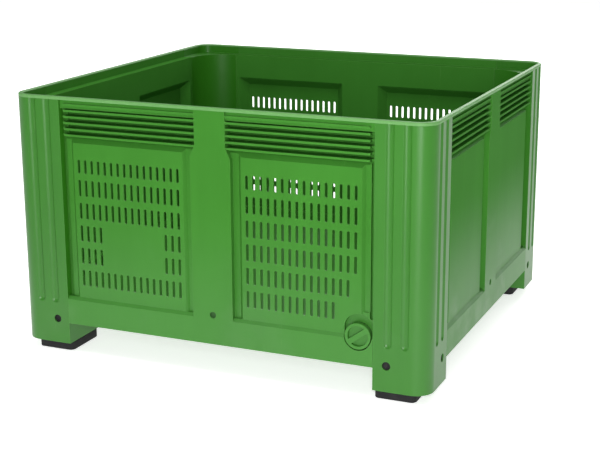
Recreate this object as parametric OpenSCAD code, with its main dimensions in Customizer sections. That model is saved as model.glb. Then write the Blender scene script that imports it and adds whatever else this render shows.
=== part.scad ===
// Harvest bin: corner posts pinned to four sills, with walls that stand on the sills, a floor deck
// between them, a rim that caps all, and a screw plug for draining. The origin is on the ground under
// the middle of the bin, +Z is up and the front wall faces -Y.

/* [Bin] */
// Outer width, along X
bin_w = 1200; // [1000:5:1400]
// Outer depth, along Y
bin_d = 1130; // [900:5:1300]
// Overall height, pads included
bin_h = 725; // [600:5:900]
// Distance between the outer and inner faces of a wall
wall_depth = 38; // [34:1:46]
// Thickness of a moulded sheet
sheet = 5; // [4:0.5:6]
// Height of the floor's upper face
floor_z = 140; // [132:1:150]
// Height of the fork openings, from the ground to the skirt
fork_gap = 86; // [76:1:92]

/* [Fits] */
// Clearance between pieces that slide together
fit_gap = 0.3; // [0.2:0.05:0.5]
// Radial clearance of the bush in the wall and of the nut on the bush
bush_gap = 0.1; // [0.05:0.05:0.3]

/* [Corner posts] */
// Width of a post on each of its two outer faces
post_w = 150; // [140:1:180]
// Radius of the outer corner
corner_r = 50; // [40:1:54]
// Thickness of a post's wall
post_wall = 9; // [8:0.5:12]
// Width of a flute
flute_w = 22; // [16:1:24]
// Depth of a flute
flute_depth = 5; // [3:0.5:6]
// Distance from the corner to the first flute's middle
flute_first = 65; // [62:1:70]
// Distance between the two flutes of a face
flute_step = 45; // [36:1:46]
// Height where the flutes end
flute_z = 138; // [130:1:160]
// Thickness of a leg's top shelf and of its bottom plate
leg_plate = 8; // [6:1:10]
// Depth of the groove that holds the floor's corner
floor_grip = 5; // [3:0.5:6]

/* [Walls] */
// Half width of the centre pillar beside the fins
pillar_half = 44; // [36:1:50]
// Half width of the centre pillar beside the panels
pillar_foot_half = 58; // [52:1:66]
// Height of the sloping shoulder where the pillar widens
shoulder_h = 30; // [20:1:40]
// Height of that shoulder's upper end above the panel's surround
shoulder_rise = 15; // [0:1:18]
// Height of the skirt's upper edge
skirt_z = 157; // [150:1:160]
// Height of the sills that the walls stand on
beam_z = 160; // [155:1:163]
// Distance from the rim's upper face to the panel's upper edge
panel_drop = 125; // [105:1:155]
// Distance of the panel behind the outer face
panel_inset = 8; // [5:1:10]
// Distance of the strips beside the panel behind the outer face
strip_inset = 16; // [13:1:18]
// Distance between a panel's slope and a post
strip_w = 26; // [22:1:30]
// Width of the strip between a panel and the pillar
inner_strip_w = 18; // [12:1:22]
// Width of the groove beside a post
joint_w = 12; // [8:1:14]
// Distance of that groove's bottom behind the outer face
joint_inset = 26; // [22:1:28]
// Length of the tongue that slides into a post
tongue_l = 9; // [6:1:12]
// Thickness of that tongue
tongue_t = 10; // [8:1:12]

/* [Fins] */
// Number of fins under the rim
fin_count = 6; // [4:1:8]
// Thickness of a fin
fin_t = 5.5; // [4:0.5:9]
// Distance of the fins behind the outer face
fin_inset = 2; // [1:0.5:4]
// Distance of the fins' ends behind the outer face, in the groove beside a post
fin_end_inset = 18; // [14:1:24]

/* [Vent slots] */
// Distance between the slots of a row
slot_step = 20; // [18:0.1:20.4]
// Width of a slot
slot_w = 8; // [5:0.5:10]
// Height of a slot
slot_h = 46; // [30:1:50]
// Height of a slot in the short top row
slot_top_h = 38; // [30:1:46]
// Distance between rows
row_step = 63.5; // [58:0.5:66]
// Height of the lowest row's middle
row_first_z = 222; // [215:1:230]

/* [Rim] */
// Width of the rim's upper face
rim_land = 12; // [10:1:14]
// Height of the rim's outer face
rim_outer_h = 9; // [8:0.5:14]
// Thickness of the rim's top
rim_top_t = 5; // [4:0.5:6]
// Room below a stacked bin's pads, which stand inside the rim
step_play = 2; // [1:0.5:6]
// Room between a stacked bin's pads and the rim, on the front and rear
pad_play = 1; // [0.5:0.5:4]

/* [Floor deck] */
// Thickness of the floor plate
floor_t = 6; // [5:0.5:8]
// Height of the ribs' lower edges
rib_z = 102; // [98:1:110]
// Thickness of the ribs under the floor
rib_t = 6; // [4:0.5:8]
// Ribs that run from front to rear
ribs_across = 7; // [3:1:9]
// Ribs that run from left to right
ribs_along = 6; // [3:1:9]

/* [Sills] */
// Distance of a sill's lower edge above the skirt's
sill_rise = 1; // [0.5:0.5:5]
// Length of the tenon that goes into a leg
tenon_l = 56; // [48:1:60]
// Height of that tenon
tenon_h = 24; // [20:1:28]
// Length of a sill's solid end
sill_end = 20; // [12:1:30]
// Width of the ledge under the floor's edge
ledge_w = 12; // [8:1:16]
// Thickness of that ledge
ledge_t = 6; // [4:1:8]
// Half width of the tab that goes up into each pillar
tab_half = 38; // [30:1:46]
// Height of the tab's upper end
tab_z = 192; // [185:1:200]

/* [Pads] */
// Height of a pad below its leg
pad_h = 25; // [15:1:35]
// Width of a pad, from the leg's inner face
pad_w = 112; // [100:1:118]
// Radius of a pad's corners
pad_r = 14; // [8:1:20]
// Width of the spigot that holds a pad in its leg
spigot_w = 70; // [50:1:80]
// Height of that spigot
spigot_h = 20; // [14:1:28]

/* [Pins] */
// Diameter of a leg pin's head
leg_pin_d = 22; // [16:1:24]
// Diameter of its shank
leg_pin_shank_d = 10; // [8:1:12]
// Distance from a leg's inner side to its pins
leg_pin_side = 37; // [30:1:42]
// Height of the leg pins above the sills' lower edges
leg_pin_rise = 8; // [7:1:12]
// How far a leg pin goes into its tenon
leg_pin_grip = 15; // [8:1:20]
// Distance of the leg pins' heads behind the outer face
leg_pin_inset = 3; // [1:0.5:5]
// Diameter of a wall pin
wall_pin_d = 18; // [12:1:20]
// Height of the wall pins
wall_pin_z = 168; // [166:1:176]
// Distance of the wall pins' heads behind the outer face
wall_pin_inset = 2; // [1:0.5:4]
// Length of a wall pin
wall_pin_l = 24; // [18:1:26]

/* [Drain] */
// Distance of the drain's middle from the right post
drain_side = 41; // [41:0.5:50]
// Height of the drain's middle
drain_z = 164; // [162:1:170]
// Radius of the plug's head
plug_r = 35; // [32:0.5:35]
// Height of the plug's head
plug_head_h = 13; // [11:0.5:14]
// Width of the raised ring around the head
plug_ring_w = 8; // [5:0.5:10]
// Depth of the hollows beside the grip bar
plug_hollow_h = 10; // [7:0.5:10]
// Width of the grip bar
plug_bar_w = 14; // [10:0.5:18]
// Turn of the grip bar from level, closed
plug_bar_turn = 37; // [0:1:180]
// Length of the plug's threaded shank
plug_shank_l = 18; // [14:0.5:20]
// Radius of the shank
plug_shank_r = 19.7; // [18:0.1:19.8]
// Radius of the bush's bore
bush_bore_r = 20; // [19.5:0.1:21]
// Radius of the bush's sleeve
bush_r = 25; // [24:0.5:26]
// Radius of the bush's flange
bush_flange_r = 33; // [31:0.5:34]
// Thickness of the bush's flange
bush_flange_t = 3; // [2.5:0.5:4]
// Thickness of the gasket behind the flange
gasket_t = 1.5; // [1:0.5:2]
// Thickness of the washer under the plug's head
seal_t = 2; // [1.5:0.5:3]
// Radius of the ring nut inside
nut_r = 32; // [30:0.5:33]
// Thickness of the ring nut
nut_t = 7; // [5:0.5:8]
// Half width of the niche around the plug
niche_r = 38; // [37:0.5:39]
// Height of the niche's straight sides above the drain's middle
niche_rise = 20; // [10:1:26]

/* [Hidden] */
$fn = 64;

green = "#4e9440";
dark_green = "#3c7a34";
black = "#1c1c1e";

// Room for a cut to run past the faces that it opens
past = 1;
// Length of the walls between the posts, from front to rear and from left to right
front_l = bin_w - 2 * post_w;
side_l = bin_d - 2 * post_w;
// Inner radius of a post, tangent to both inner wall faces
post_inner_r = post_w - wall_depth;
// Depth of a post's end web, which holds the groove for a wall's tongue
end_web = tongue_l + fit_gap + post_wall;
// Radius of a flute's round bottom
flute_r = (pow(flute_w / 2, 2) + pow(flute_depth, 2)) / (2 * flute_depth);
flute_places = [flute_first, flute_first + flute_step];
// Heights in the rim: upper edges of the walls and posts, and lower edge of the rim's outer face
cap_z = bin_h - rim_top_t;
rim_outer_z = bin_h - rim_outer_h;
// Front of the sheet that carries the rim
rim_back = rim_land - sheet;
// Height of the step inside the walls and posts, which takes a stacked bin's pads
step_z = bin_h - pad_h - step_play;
// Distance of a pad behind the leg's outer face on the front and rear
pad_inset = rim_land + pad_play;
// Underside of the floor plate, where it lies on the legs' shelves
shelf_z = floor_z - floor_t;
// Slope between a panel and the strips around it
bevel = strip_inset - panel_inset;
// Heights of the panel's upper edge and where the fins begin
panel_top_z = bin_h - panel_drop;
fin_z = panel_top_z + bevel;
// Shoulder of a pillar: its upper end, and half the pillar's width where it passes the fins' lower edge
shoulder_z = fin_z + shoulder_rise;
shoulder_half = pillar_half + (pillar_foot_half - pillar_half) * shoulder_rise / shoulder_h;
// Back of the panel and of the fins, distance between fins, and where the deep space behind them ends
panel_back = panel_inset + sheet;
fin_back = wall_depth - sheet;
fin_step = (rim_outer_z - fin_z) / (fin_count + 0.5);
fin_deep_z = step_z - sheet;
// Sloping sides of the pocket behind a panel, which widen it to the groove beside a post, and their slope
pocket_flare = strip_w + bevel + sheet / 2 - joint_w;
pocket_slope = pocket_flare / (wall_depth - panel_back);
// Height of the fins' space at its back, where its floor has risen along the pocket's sloping top
fin_floor_z = fin_z + pocket_slope * (fin_back - strip_inset);
// Place of the tongue across the wall
tongue_y = fin_back - tongue_t;
// Lower edge of the sills, and place and thickness of their tenons across the wall
sill_z = fork_gap + sill_rise;
tenon_y = post_wall + fit_gap;
tenon_t = fin_back - tenon_y;
// Place of a leg pin, measured from its leg's outer corner and from the ground
leg_pin_x = post_w - leg_pin_side;
leg_pin_z = sill_z + leg_pin_rise;
// Rows and columns of slots that a panel has room for
row_count = floor((panel_top_z - skirt_z - panel_inset) / row_step);
slot_columns = floor(panel_w(front_l) / slot_step);
// First and last columns and rows of the plain patch, counted from zero
patch_columns = [4, slot_columns - 4];
patch_rows = [1, 2];
// Slots that stay closed above the drain, at the end of the lowest row and of the next one
drain_closed = [3, 1];
// Drain: its place, the seat of the bush, and faces of the gasket, flange, washer and head in front of it
drain_x = front_l / 2 - drain_side;
seat_y = plug_head_h + seal_t + bush_flange_t + gasket_t;
head_back_y = plug_head_h;
flange_y = head_back_y + seal_t;
gasket_y = flange_y + bush_flange_t;
boss_half = niche_r + sheet;
boss_end = front_l / 2 - fit_gap;

// The rounded rectangle that the bin's outline follows, drawn in by a distance
module outline(inset) {
    w = bin_w - 2 * inset;
    d = bin_d - 2 * inset;
    r = corner_r - inset;
    square([w - 2 * r, d], center = true);
    square([w, d - 2 * r], center = true);
    for (x = [-1, 1], y = [-1, 1])
        translate([x * (w / 2 - r), y * (d / 2 - r)])
            circle(r);
}

// A square with one round corner, which lies at its lower left, drawn in from the two outer faces
module corner_plan(inset, size) {
    r = corner_r - inset;
    difference() {
        translate([inset, inset])
            square(size - inset);
        difference() {
            translate([inset - past, inset - past])
                square(r + past);
            translate([corner_r, corner_r])
                circle(r);
        }
    }
}

// Plan of a post above the floor: the corner square without the bin's round inner corner
module column_plan(inset, size, inner_r) {
    difference() {
        corner_plan(inset, size);
        translate([post_w, post_w])
            circle(inner_r);
    }
}

// Repeats a shape of the post's front face on its side face
module both_faces() {
    children();
    mirror([1, -1, 0])
        children();
}

// A flute with a round lower end, cut from a post's front face
module flute(x) {
    translate([x, flute_depth - flute_r, flute_z + flute_r]) {
        cylinder(r = flute_r, h = bin_h);
        sphere(flute_r);
    }
}

// The post of the front left corner, with its outer corner at the origin
module corner_post() {
    leg_inner = post_w - 2 * post_wall;
    difference() {
        union() {
            translate([0, 0, pad_h])
                linear_extrude(shelf_z - pad_h)
                    corner_plan(0, post_w);
            translate([0, 0, shelf_z])
                linear_extrude(step_z - shelf_z)
                    column_plan(0, post_w, post_inner_r);
            translate([0, 0, step_z])
                linear_extrude(rim_outer_z - step_z)
                    difference() {
                        corner_plan(0, post_w);
                        corner_plan(rim_land, post_w + past);
                    }
            translate([0, 0, rim_outer_z])
                linear_extrude(cap_z - rim_outer_z)
                    difference() {
                        corner_plan(rim_back, post_w);
                        corner_plan(rim_land, post_w + past);
                    }
        }
        // Hollow leg and socket in its bottom plate
        translate([0, 0, pad_h + leg_plate])
            linear_extrude(shelf_z - pad_h - 2 * leg_plate)
                corner_plan(post_wall, post_w - post_wall);
        spigot_place()
            translate([0, 0, pad_h - past])
                linear_extrude(leg_plate + 2 * past)
                    square(spigot_w + 2 * fit_gap, center = true);
        // Groove for the floor's corner
        translate([post_w, post_w, shelf_z])
            cylinder(r = post_inner_r + floor_grip, h = floor_t + fit_gap);
        // Hollow column
        translate([0, 0, shelf_z - leg_plate - past])
            linear_extrude(step_z - shelf_z)
                column_plan(post_wall, post_w - end_web, post_inner_r + post_wall);
        both_faces() {
            for (x = flute_places)
                flute(x);
            // Groove for a wall's tongue
            translate([post_w - tongue_l - fit_gap, tongue_y - fit_gap, beam_z - fit_gap])
                cube([tongue_l + fit_gap + past, tongue_t + 2 * fit_gap, bin_h]);
            // Window for a sill's tenon, and hole for its pin's head
            translate([post_w - post_wall - past, tenon_y - fit_gap, sill_z - fit_gap])
                cube([post_wall + 2 * past, tenon_t + 2 * fit_gap, tenon_h + 2 * fit_gap]);
            translate([leg_pin_x, post_wall + past, leg_pin_z])
                rotate([90, 0, 0])
                    cylinder(d = leg_pin_d + 2 * fit_gap, h = post_wall + 2 * past);
        }
    }
}

// Middle of a pad and of its spigot in a post's frame
module spigot_place() {
    translate([post_w - pad_w / 2, post_w / 2 + pad_inset / 2, 0])
        children();
}

// A pad under the leg of the front left corner, in the post's frame
module foot_pad() {
    pad_d = post_w - pad_inset;
    spigot_place() {
        linear_extrude(pad_h) {
            square([pad_w - 2 * pad_r, pad_d], center = true);
            square([pad_w, pad_d - 2 * pad_r], center = true);
            for (x = [-1, 1], y = [-1, 1])
                translate([x * (pad_w / 2 - pad_r), y * (pad_d / 2 - pad_r)])
                    circle(pad_r);
        }
        translate([0, 0, pad_h])
            linear_extrude(spigot_h)
                square(spigot_w, center = true);
    }
}

// Puts a shape made for the front left corner at a corner: side -1 is left, 1 right; end -1 front, 1 rear
module at_corner(side, end) {
    mirror([side > 0 ? 1 : 0, 0, 0])
        mirror([0, end > 0 ? 1 : 0, 0])
            translate([-bin_w / 2, -bin_d / 2, 0])
                children();
}

// Puts a shape made for a wall, with the outer face at y = 0, on the front, right, rear or left
module at_side(turn) {
    reach = turn % 180 == 0 ? bin_d / 2 : bin_w / 2;
    rotate([0, 0, turn])
        translate([0, -reach, 0])
            children();
}

// Cuts or adds the same shape in both bays of a wall
module both_bays() {
    children();
    mirror([1, 0, 0])
        children();
}

// Space in front of a panel and its strips, in the bay on the positive side
module bay_recess(half) {
    inner = pillar_foot_half + inner_strip_w;
    outer = half - strip_w;
    translate([0, 0, skirt_z + panel_inset])
        linear_extrude(fin_z - skirt_z - panel_inset)
            polygon([
                [pillar_foot_half, -past],
                [pillar_foot_half, strip_inset],
                [inner, strip_inset],
                [inner + bevel, panel_inset],
                [outer - bevel, panel_inset],
                [outer, strip_inset],
                [half + past, strip_inset],
                [half + past, -past],
            ]);
    // Slopes above and below the panel, drawn in the plane across the wall
    translate([pillar_foot_half, 0, 0])
        rotate([90, 0, 90])
            linear_extrude(half + past - pillar_foot_half)
                polygon([
                    [-past, skirt_z - past],
                    [panel_inset, skirt_z + panel_inset],
                    [panel_inset, panel_top_z],
                    [strip_inset, fin_z],
                    [-past, fin_z],
                ]);
    // Lower part of the pillar's sloping shoulder
    translate([0, strip_inset, 0])
        rotate([90, 0, 0])
            linear_extrude(strip_inset + past)
                polygon([
                    [shoulder_half, fin_z],
                    [pillar_foot_half, shoulder_z - shoulder_h],
                    [pillar_foot_half + past, shoulder_z - shoulder_h],
                    [pillar_foot_half + past, fin_z],
                ]);
}

// A slot as an outline in the wall's plane
module slot_plan(height) {
    square([slot_w, height - slot_w], center = true);
    for (y = [-1, 1])
        translate([0, y * (height - slot_w) / 2])
            circle(d = slot_w);
}

// True where a slot stays closed: the plain patch on the left bay, or the drain's corner on the right
function slot_closed(column, row, patch, drain) =
    (patch && row >= patch_rows[0] && row <= patch_rows[1]
        && column >= patch_columns[0] && column <= patch_columns[1])
    || (drain && row < len(drain_closed) && column >= slot_columns - drain_closed[row]);

// The slots of one bay, counted from its left and lower end
module bay_slots(middle, patch, drain) {
    translate([middle, panel_back + past, 0])
        rotate([90, 0, 0])
            linear_extrude(sheet + 2 * past)
                for (row = [0 : row_count - 1], column = [0 : slot_columns - 1])
                    if (!slot_closed(column, row, patch, drain)) {
                        height = row == row_count - 1 ? slot_top_h : slot_h;
                        translate([
                            (column - (slot_columns - 1) / 2) * slot_step,
                            row_first_z + row * row_step - (slot_h - height) / 2,
                        ])
                            slot_plan(height);
                    }
}

// Pocket behind a panel, in the bay on the positive side: its sides and top slope out to the inner face
module panel_pocket(length) {
    inner = pillar_foot_half + inner_strip_w + bevel + sheet / 2;
    outer = pocket_outer(length);
    bottom = skirt_z + panel_inset + sheet;
    top = panel_top_z - sheet / 2;
    front = wall_depth + past;
    reach = pocket_flare + pocket_slope * past;
    intersection() {
        translate([0, 0, bottom])
            linear_extrude(top + reach - bottom)
                polygon([
                    [inner, panel_back],
                    [outer, panel_back],
                    [outer + reach, front],
                    [inner - reach, front],
                ]);
        translate([inner - reach, 0, 0])
            rotate([90, 0, 90])
                linear_extrude(outer - inner + 2 * reach)
                    polygon([
                        [panel_back, bottom],
                        [panel_back, top],
                        [front, top + reach],
                        [front, bottom],
                    ]);
    }
}

// Deep space for the fins, in the bay on the positive side: its floor slopes with the pocket below it
module fin_space(half) {
    groove = half - joint_w;
    intersection() {
        translate([0, fin_back, 0])
            rotate([90, 0, 0])
                linear_extrude(fin_back + past)
                    polygon([
                        [pillar_half, fin_deep_z],
                        [pillar_half, shoulder_z],
                        [shoulder_half, fin_z],
                        [groove, fin_z],
                        [groove, fin_deep_z],
                    ]);
        rotate([90, 0, 90])
            linear_extrude(half)
                polygon([
                    [-past, fin_z],
                    [strip_inset, fin_z],
                    [fin_back, fin_floor_z],
                    [fin_back, fin_deep_z],
                    [-past, fin_deep_z],
                ]);
    }
}

// Sheet of a wall between two posts: outer face at y = 0, inner face at y = wall_depth
module wall_shell(length) {
    half = length / 2 - fit_gap;
    groove = half - joint_w;
    difference() {
        translate([-half, 0, fork_gap])
            cube([2 * half, wall_depth, cap_z - fork_gap]);
        // Room for the sill behind the skirt, and for its tab in the hollow pillar
        translate([-half - past, sheet, fork_gap - past])
            cube([2 * half + 2 * past, wall_depth, beam_z - fork_gap + past]);
        translate([sheet - pillar_half, sheet, fork_gap])
            cube([2 * (pillar_half - sheet), wall_depth - 2 * sheet, fin_z - fork_gap]);
        both_bays() {
            bay_recess(half);
            panel_pocket(length);
            fin_space(half);
            // Shallow space below the rim
            translate([pillar_half, -past, fin_deep_z - past])
                cube([half + past - pillar_half, rim_back + past, rim_outer_z - fin_deep_z + past]);
            // Groove beside the post
            translate([groove, -past, skirt_z + panel_inset])
                cube([joint_w + past, joint_inset + past, fin_deep_z - skirt_z - panel_inset]);
        }
        translate([0, sheet + past, wall_pin_z])
            rotate([90, 0, 0])
                cylinder(d = wall_pin_d + 2 * fit_gap, h = sheet + 2 * past);
    }
}

// A wall with its fins and tongues, cut to seat the rim and a stacked bin's pads
module wall_blank(length) {
    half = length / 2 - fit_gap;
    fin_l = half - joint_w - pillar_half;
    difference() {
        union() {
            wall_shell(length);
            both_bays() {
                for (i = [1 : fin_count])
                    translate([pillar_half - past, 0, rim_outer_z - (i - 0.25) * fin_step - fin_t / 2]) {
                        translate([0, fin_inset, 0])
                            cube([fin_l + past, fin_back - fin_inset + past, fin_t]);
                        translate([fin_l, fin_end_inset, 0])
                            cube([joint_w + past, fin_back - fin_end_inset + past, fin_t]);
                    }
                translate([half - past, tongue_y, beam_z])
                    cube([tongue_l + past, tongue_t, step_z - beam_z]);
            }
        }
        translate([-half - past, -past, rim_outer_z])
            cube([2 * half + 2 * past, past + rim_back, bin_h]);
        translate([-half - past, rim_land, step_z])
            cube([2 * half + 2 * past, wall_depth, bin_h]);
    }
}

// Side of the pocket behind a panel that lies towards the post
function pocket_outer(length) =
    length / 2 - fit_gap - strip_w - bevel - sheet / 2;

// Width of a panel between its slopes
function panel_w(length) =
    length / 2 - fit_gap - strip_w - pillar_foot_half - inner_strip_w - 2 * bevel;

// Middle of a panel, measured from the middle of its wall
function bay_middle(length) =
    (pillar_foot_half + inner_strip_w + length / 2 - fit_gap - strip_w) / 2;

// A wall with vent slots in both bays
module slotted_wall(patch, drain) {
    difference() {
        wall_blank(front_l);
        bay_slots(-bay_middle(front_l), patch, false);
        bay_slots(bay_middle(front_l), false, drain);
    }
}

// Places a shape at the drain: x and y turn into the wall's plane, and z points into the bin
module at_drain() {
    translate([drain_x, 0, drain_z])
        rotate([-90, 0, 0])
            children();
}

// Blocks in the front wall that carry the drain: behind the skirt, behind the panel and in the groove
module drain_boss() {
    left = drain_x - boss_half;
    bottom = drain_z - boss_half;
    top = drain_z + boss_half;
    groove = boss_end - joint_w;
    translate([left, sheet - past, bottom])
        cube([boss_end - left, wall_depth - sheet + past, beam_z + past - bottom]);
    translate([left, panel_back - past, beam_z])
        cube([groove - left, wall_depth - panel_back + past, top + niche_rise - beam_z]);
    translate([groove - past, strip_inset, beam_z])
        cube([joint_w + past, wall_depth - strip_inset, top - beam_z]);
}

// Arched niche around the plug and the stepped hole for the bush and its nut
module drain_hole() {
    at_drain() {
        translate([0, 0, -past])
            linear_extrude(seat_y + past) {
                circle(niche_r);
                translate([0, -niche_rise])
                    circle(niche_r);
                translate([-niche_r, -niche_rise])
                    square([2 * niche_r, niche_rise]);
            }
        cylinder(r = bush_r + bush_gap, h = wall_depth + past);
        translate([0, 0, wall_depth - nut_t])
            cylinder(r = nut_r + fit_gap, h = nut_t + past);
    }
}

module wall_front() {
    color(green)
        at_side(0)
            difference() {
                union() {
                    slotted_wall(true, true);
                    drain_boss();
                }
                drain_hole();
            }
}

module wall_rear() {
    color(green)
        at_side(180)
            slotted_wall(false, false);
}

module wall_left() {
    color(green)
        at_side(270)
            wall_blank(side_l);
}

module wall_right() {
    color(green)
        at_side(90)
            wall_blank(side_l);
}

module post_front_left() {
    color(green)
        at_corner(-1, -1)
            corner_post();
}

module post_front_right() {
    color(green)
        at_corner(1, -1)
            corner_post();
}

module post_rear_left() {
    color(green)
        at_corner(-1, 1)
            corner_post();
}

module post_rear_right() {
    color(green)
        at_corner(1, 1)
            corner_post();
}

// The slim ring that caps the walls and posts: a top plate with an outer lip
module top_rim() {
    color(green) {
        translate([0, 0, cap_z])
            linear_extrude(rim_top_t)
                difference() {
                    outline(0);
                    outline(rim_land);
                }
        translate([0, 0, rim_outer_z])
            linear_extrude(cap_z - rim_outer_z)
                difference() {
                    outline(0);
                    outline(rim_back - fit_gap);
                }
    }
}

// Hollow of a sill, open below, between two places along it
module sill_hollow(from, to) {
    front = 2 * sheet + fit_gap;
    translate([from, front, sill_z - past])
        cube([to - from, wall_depth - sheet - front, beam_z - sheet - sill_z + past]);
}

// Beam under a wall, with a tab that goes up into the pillar, a ledge for the floor and a tenon at each
// end that goes into a leg
module sill(length, right_end) {
    half = length / 2 - fit_gap;
    front = sheet + fit_gap;
    difference() {
        union() {
            translate([-half, front, sill_z])
                cube([2 * half, wall_depth - front, beam_z - sill_z]);
            translate([-tab_half, front, sill_z])
                cube([2 * tab_half, fin_back - fit_gap - front, tab_z - sill_z]);
            translate([-half, wall_depth - past, shelf_z - ledge_t])
                cube([2 * half, ledge_w + past, ledge_t]);
            both_bays()
                translate([half - past, tenon_y, sill_z])
                    cube([past + fit_gap + tenon_l, tenon_t, tenon_h]);
        }
        sill_hollow(sill_end - half, -tab_half - sheet);
        sill_hollow(tab_half + sheet, half - right_end);
        translate([0, wall_pin_inset + wall_pin_l + fit_gap, wall_pin_z])
            rotate([90, 0, 0])
                cylinder(d = wall_pin_d + 2 * fit_gap, h = wall_pin_l);
        both_bays()
            translate([length / 2 + leg_pin_side, tenon_y + leg_pin_grip + fit_gap, leg_pin_z])
                rotate([90, 0, 0])
                    cylinder(d = leg_pin_shank_d + 2 * fit_gap, h = leg_pin_grip + fit_gap + past);
    }
}

// The front sill is stepped down at its right end, under the drain's block in the front wall
module sill_front() {
    step_x = drain_x - boss_half - fit_gap;
    color(dark_green)
        at_side(0)
            difference() {
                sill(front_l, boss_end - step_x + sheet);
                translate([step_x, 0, drain_z - boss_half - fit_gap])
                    cube([boss_end, wall_depth + ledge_w + past, bin_h]);
            }
}

module sill_rear() {
    color(dark_green)
        at_side(180)
            sill(front_l, sill_end);
}

module sill_left() {
    color(dark_green)
        at_side(270)
            sill(side_l, sill_end);
}

module sill_right() {
    color(dark_green)
        at_side(90)
            sill(side_l, sill_end);
}

// Plan of the floor plate: up to the sills, with round corners that go into the posts' grooves
module floor_plan() {
    inset = wall_depth + fit_gap;
    r = post_inner_r + floor_grip - fit_gap;
    square([bin_w - 2 * inset, side_l + 2 * past], center = true);
    square([front_l + 2 * past, bin_d - 2 * inset], center = true);
    for (x = [-1, 1], y = [-1, 1])
        translate([x * front_l / 2, y * side_l / 2])
            intersection() {
                circle(r);
                translate([x > 0 ? 0 : -r, y > 0 ? 0 : -r])
                    square(r);
            }
}

// Floor plate with ribs below it, which end beside the sills' ledges
module base_deck() {
    rib_h = shelf_z - rib_z + floor_t / 2;
    rib_inset = wall_depth + ledge_w + fit_gap;
    color(dark_green) {
        translate([0, 0, shelf_z])
            linear_extrude(floor_t)
                floor_plan();
        for (i = [1 : ribs_across])
            translate([(i / (ribs_across + 1) - 0.5) * front_l, 0, rib_z + rib_h / 2])
                cube([rib_t, bin_d - 2 * rib_inset, rib_h], center = true);
        for (i = [1 : ribs_along])
            translate([0, (i / (ribs_along + 1) - 0.5) * side_l, rib_z + rib_h / 2])
                cube([bin_w - 2 * rib_inset, rib_t, rib_h], center = true);
    }
}

module pad_front_left() {
    color(black)
        at_corner(-1, -1)
            foot_pad();
}

module pad_front_right() {
    color(black)
        at_corner(1, -1)
            foot_pad();
}

module pad_rear_left() {
    color(black)
        at_corner(-1, 1)
            foot_pad();
}

module pad_rear_right() {
    color(black)
        at_corner(1, 1)
            foot_pad();
}

// Pins through both outer faces of every leg into the sills' tenons
module leg_pins() {
    color(black)
        for (side = [-1, 1], end = [-1, 1])
            at_corner(side, end)
                both_faces()
                    translate([leg_pin_x, leg_pin_inset, leg_pin_z])
                        rotate([-90, 0, 0]) {
                            cylinder(d = leg_pin_d, h = post_wall - leg_pin_inset);
                            cylinder(d = leg_pin_shank_d, h = tenon_y + leg_pin_grip - leg_pin_inset);
                        }
}

// Pins through the foot of every pillar into the sills' tabs
module wall_pins() {
    color(dark_green)
        for (turn = [0, 90, 180, 270])
            at_side(turn)
                translate([0, wall_pin_inset + wall_pin_l, wall_pin_z])
                    rotate([90, 0, 0])
                        cylinder(d = wall_pin_d, h = wall_pin_l);
}

module drain_bush() {
    color(green)
        at_side(0)
            at_drain()
                difference() {
                    union() {
                        translate([0, 0, flange_y])
                            cylinder(r = bush_flange_r, h = bush_flange_t);
                        translate([0, 0, flange_y])
                            cylinder(r = bush_r, h = wall_depth - flange_y);
                    }
                    cylinder(r = bush_bore_r, h = wall_depth + past);
                }
}

module drain_gasket() {
    color(black)
        at_side(0)
            at_drain()
                translate([0, 0, gasket_y])
                    difference() {
                        cylinder(r = bush_flange_r, h = gasket_t);
                        translate([0, 0, -past])
                            cylinder(r = bush_r + fit_gap, h = gasket_t + 2 * past);
                    }
}

module drain_nut() {
    color(green)
        at_side(0)
            at_drain()
                translate([0, 0, wall_depth - nut_t])
                    difference() {
                        cylinder(r = nut_r, h = nut_t);
                        translate([0, 0, -past])
                            cylinder(r = bush_r + bush_gap, h = nut_t + 2 * past);
                    }
}

module drain_seal() {
    color(black)
        at_side(0)
            at_drain()
                translate([0, 0, head_back_y])
                    difference() {
                        cylinder(r = bush_flange_r, h = seal_t);
                        translate([0, 0, -past])
                            cylinder(r = plug_shank_r + fit_gap, h = seal_t + 2 * past);
                    }
}

// Plug with a ring around two hollows and a grip bar between them
module drain_plug() {
    color(green)
        at_side(0)
            at_drain()
                rotate([0, 0, -plug_bar_turn]) {
                    difference() {
                        cylinder(r = plug_r, h = plug_head_h);
                        difference() {
                            translate([0, 0, -past])
                                cylinder(r = plug_r - plug_ring_w, h = plug_hollow_h + past);
                            translate([-plug_r, -plug_bar_w / 2, -2 * past])
                                cube([2 * plug_r, plug_bar_w, plug_hollow_h + 4 * past]);
                        }
                    }
                    translate([0, 0, plug_head_h])
                        cylinder(r = plug_shank_r, h = plug_shank_l);
                }
}

base_deck();
sill_front();
sill_rear();
sill_left();
sill_right();
post_front_left();
post_front_right();
post_rear_left();
post_rear_right();
wall_front();
wall_rear();
wall_left();
wall_right();
top_rim();
pad_front_left();
pad_front_right();
pad_rear_left();
pad_rear_right();
leg_pins();
wall_pins();
drain_bush();
drain_gasket();
drain_nut();
drain_seal();
drain_plug();
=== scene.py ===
"""Studio scene of a moulded-plastic fruit bin.

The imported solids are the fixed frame. Posts, walls, sills, deck and the drain's bush, nut and rubber
rings keep their solids, with softened edges and a moulded finish. The rim, foot pads, pins and drain
plug are modelled again with their rounded forms.
"""

import logging
import math
from dataclasses import dataclass, replace
from enum import Enum
from functools import cache
from typing import Any, Callable, Optional, Sequence, Union

import bpy
from mathutils import Matrix, Vector


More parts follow.
